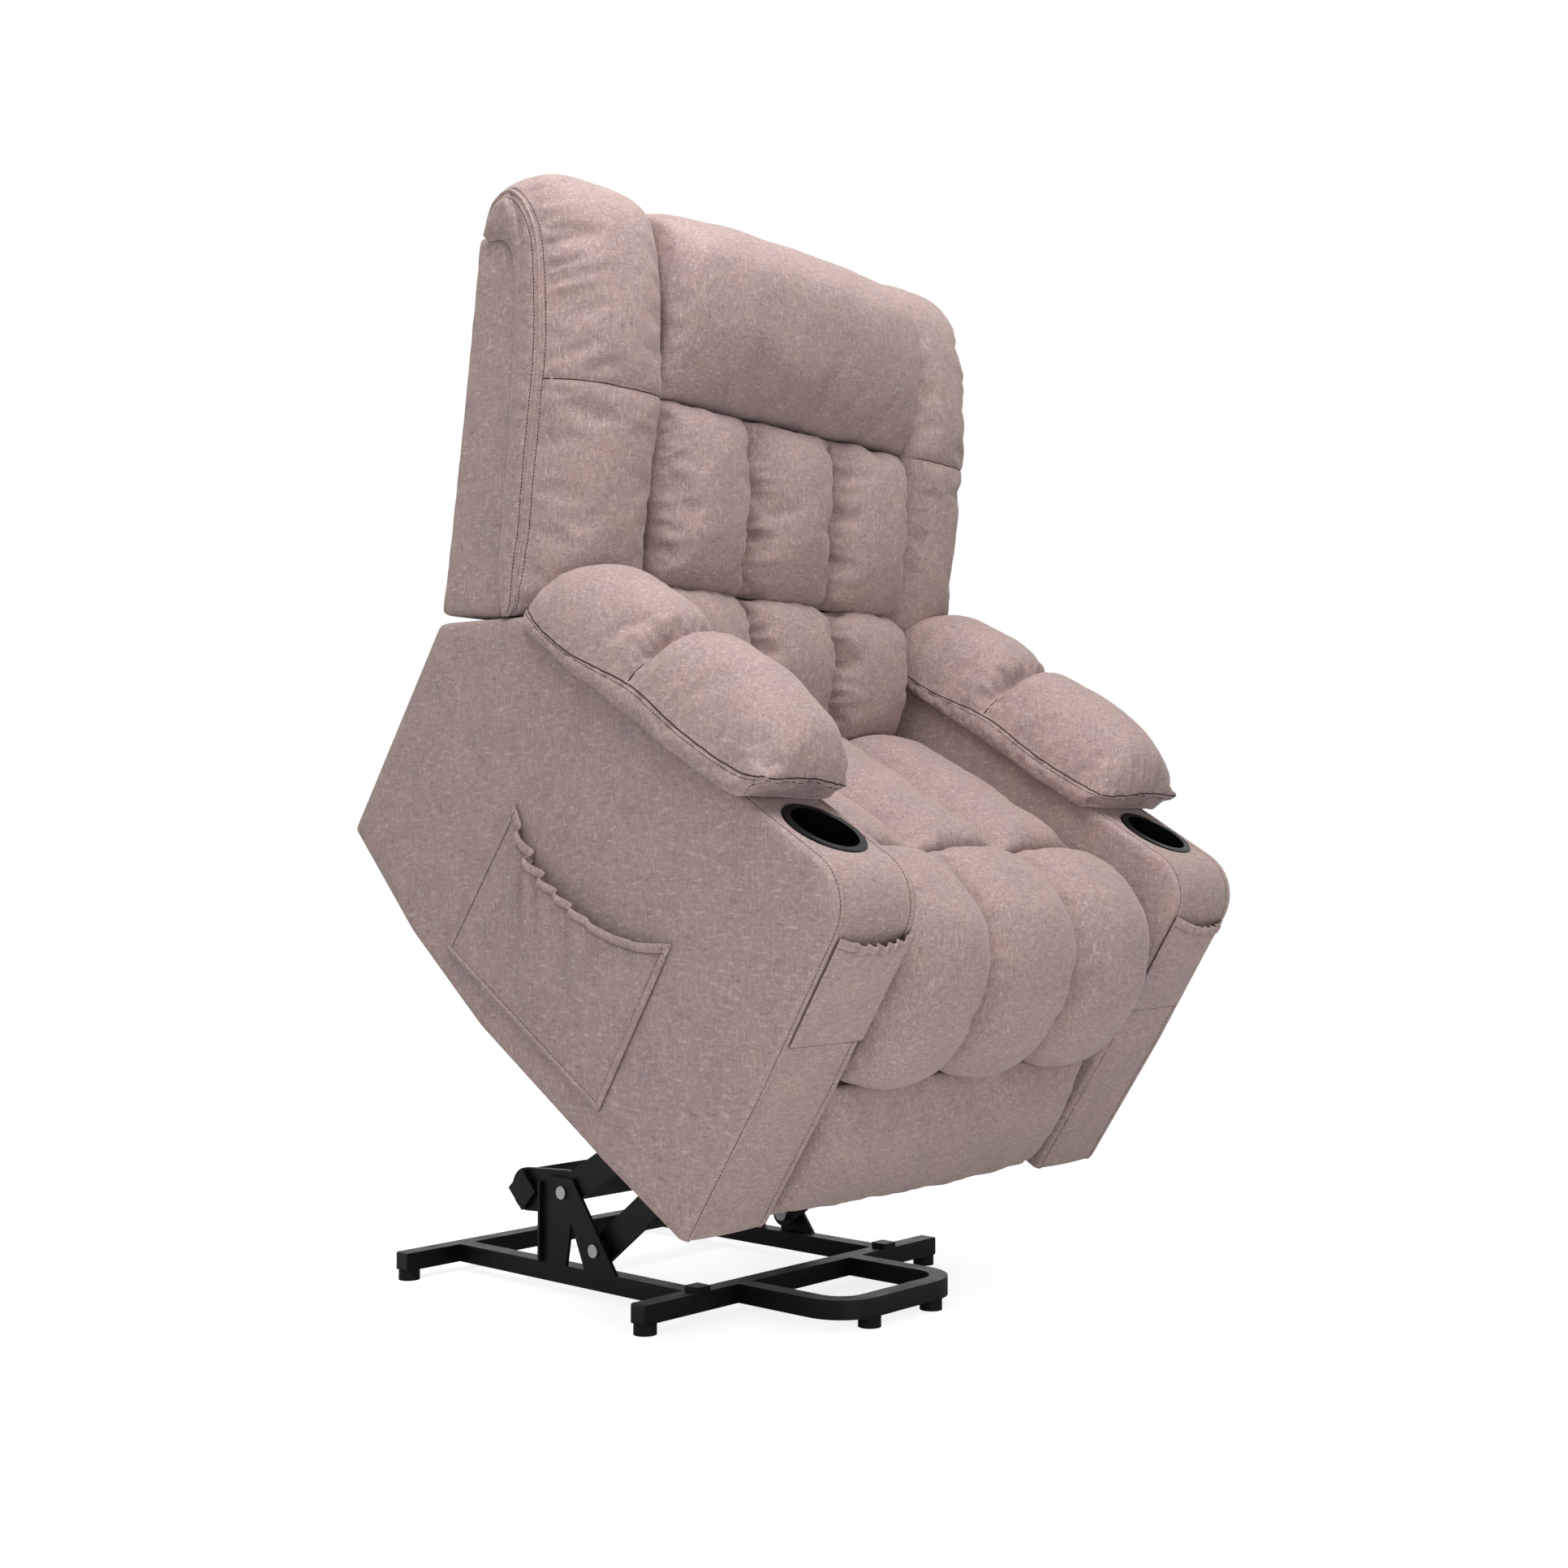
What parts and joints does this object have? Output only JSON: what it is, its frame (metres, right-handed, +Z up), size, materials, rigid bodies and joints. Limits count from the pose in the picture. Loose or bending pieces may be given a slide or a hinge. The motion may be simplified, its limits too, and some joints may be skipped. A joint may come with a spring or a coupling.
{
  "type": "lift recliner chair",
  "caption": "Powered lift recliner shown raised: steel scissor base, tilting upholstered seat with padded arms, reclining back, folding footrest and cup holders.",
  "frame": {"origin": "on the floor, at the centre of the object's outline in its raised position", "axes": "+Z up, the sitter faces -Y, +X to the sitter's left"},
  "size_m": [0.8973, 0.9325, 1.4601],
  "materials": {
    "upholstery": "brushed woven, matt",
    "black_steel": "satin powder coat",
    "zinc_bolts": "zinc plated",
    "foot_rubber": "matt",
    "motor_steel": "ground",
    "motor_plastic": "fine texture",
    "cup_plastic": "semi gloss",
    "case_plastic": "fine texture",
    "button_plastic": "smooth",
    "plywood": "raw",
    "webbing": "woven strap"
  },
  "bodies": {
    "base": {"base_rail_right": "black_steel", "base_rail_left": "black_steel", "base_front_crossbar": "black_steel", "base_rear_crossbar": "black_steel", "base_front_loop": "black_steel", "rubber_feet": "foot_rubber", "tower_right": "black_steel", "tower_left": "black_steel", "tower_bolts": "zinc_bolts"},
    "lift_arms": {"upper_lift_arm_right": "black_steel", "upper_lift_arm_left": "black_steel", "rear_cross_tube": "black_steel", "drive_tube": "black_steel"},
    "lower_arms": {"lower_lift_arm_right": "black_steel", "lower_lift_arm_left": "black_steel", "lower_cross_tube": "black_steel"},
    "seat_frame": {"side_plate_right": "black_steel", "side_plate_left": "black_steel", "front_cross_tube": "black_steel", "lift_pivot_bolts": "zinc_bolts", "back_pivot_bolts": "zinc_bolts", "seat_board_front": "plywood", "seat_board_rear": "plywood", "seat_webbing": "webbing", "control_box": "case_plastic", "seat_cushion": "upholstery", "seat_front_roll": "upholstery", "arm_cover_right": "upholstery", "arm_cover_left": "upholstery", "arm_frame_right": "plywood", "arm_frame_left": "plywood", "arm_pad_right": "upholstery", "arm_pad_left": "upholstery", "cup_holder_right": "cup_plastic", "cup_holder_left": "cup_plastic", "side_pocket_right": "upholstery", "side_pocket_left": "upholstery", "front_pocket_right": "upholstery", "front_pocket_left": "upholstery", "handset_shell": "case_plastic"},
    "back": {"back_upright_right": "black_steel", "back_upright_left": "black_steel", "back_bottom_rail": "black_steel", "back_cover": "upholstery", "head_roll": "upholstery", "upper_channels": "upholstery", "lumbar_channels": "upholstery", "wing_right": "upholstery", "wing_left": "upholstery"},
    "footrest_rear_links": {"footrest_rear_link_right": "black_steel", "footrest_rear_link_left": "black_steel", "footrest_torque_tube": "black_steel"},
    "footrest_front_links": {"footrest_front_link_right": "black_steel", "footrest_front_link_left": "black_steel"},
    "footrest_panel": {"footrest_board": "plywood", "footrest_pad": "upholstery"},
    "motor_housing": {"lift_motor_housing": "motor_plastic"},
    "motor_rod": {"lift_motor_rod": "motor_steel"},
    "button_up": {"button_up": "button_plastic"},
    "button_down": {"button_down": "button_plastic"}
  },
  "joints": [
    {"name": "lift", "type": "hinge", "parent": "base", "child": "lift_arms", "pos_m": [0, 0.22, 0.138], "axis": [1, 0, 0], "range_deg": [0, 34.6]},
    {"name": "seat_tilt", "type": "hinge", "parent": "lift_arms", "child": "seat_frame", "pos_m": [0, -0.08987, 0.32125], "axis": [1, 0, 0], "range_deg": [-65.9, 0]},
    {"name": "lower_arm_swing", "type": "hinge", "parent": "base", "child": "lower_arms", "pos_m": [0, 0.155, 0.067], "axis": [1, 0, 0], "range_deg": [0, 36.5]},
    {"name": "motor_swing", "type": "hinge", "parent": "seat_frame", "child": "motor_housing", "pos_m": [0, -0.22536, 0.26121], "axis": [1, 0, 0], "range_deg": [0, 32.95]},
    {"name": "motor_rod_swing", "type": "hinge", "parent": "lift_arms", "child": "motor_rod", "pos_m": [0, 0.00539, 0.43478], "axis": [1, 0, 0], "range_deg": [-32.95, 0]},
    {"name": "recline", "type": "hinge", "parent": "seat_frame", "child": "back", "pos_m": [0, 0.15188, 0.70363], "axis": [-1, 0, 0], "range_deg": [0, 38]},
    {"name": "footrest", "type": "hinge", "parent": "seat_frame", "child": "footrest_rear_links", "pos_m": [0, -0.23005, 0.35204], "axis": [-1, 0, 0], "range_deg": [0, 83]},
    {"name": "footrest_front_link", "type": "hinge", "parent": "footrest_rear_links", "child": "footrest_front_links", "pos_m": [0, -0.1216, 0.24841], "axis": [-1, 0, 0], "range_deg": [-82.16, 0]},
    {"name": "footrest_panel", "type": "hinge", "parent": "footrest_front_links", "child": "footrest_panel", "pos_m": [0, -0.26412, 0.31377], "axis": [-1, 0, 0], "range_deg": [0, 89.16]},
    {"name": "button_up", "type": "slide", "parent": "seat_frame", "child": "button_up", "axis": [-1, 0, 0], "range_m": [0, 0.0015], "stiffness_N_per_m": 600, "springref_m": -0.0005},
    {"name": "button_down", "type": "slide", "parent": "seat_frame", "child": "button_down", "axis": [-1, 0, 0], "range_m": [0, 0.0015], "stiffness_N_per_m": 600, "springref_m": -0.0005}
  ],
  "couplings": [
    {"joint": "seat_tilt", "follows": "lift", "ratio": -1.9046},
    {"joint": "lower_arm_swing", "follows": "lift", "ratio": 1.0549},
    {"joint": "motor_swing", "follows": "lift", "ratio": 0.95231},
    {"joint": "motor_rod_swing", "follows": "lift", "ratio": -0.95231},
    {"joint": "footrest_front_link", "follows": "footrest", "ratio": -0.98988},
    {"joint": "footrest_panel", "follows": "footrest", "ratio": 1.0742}
  ]
}
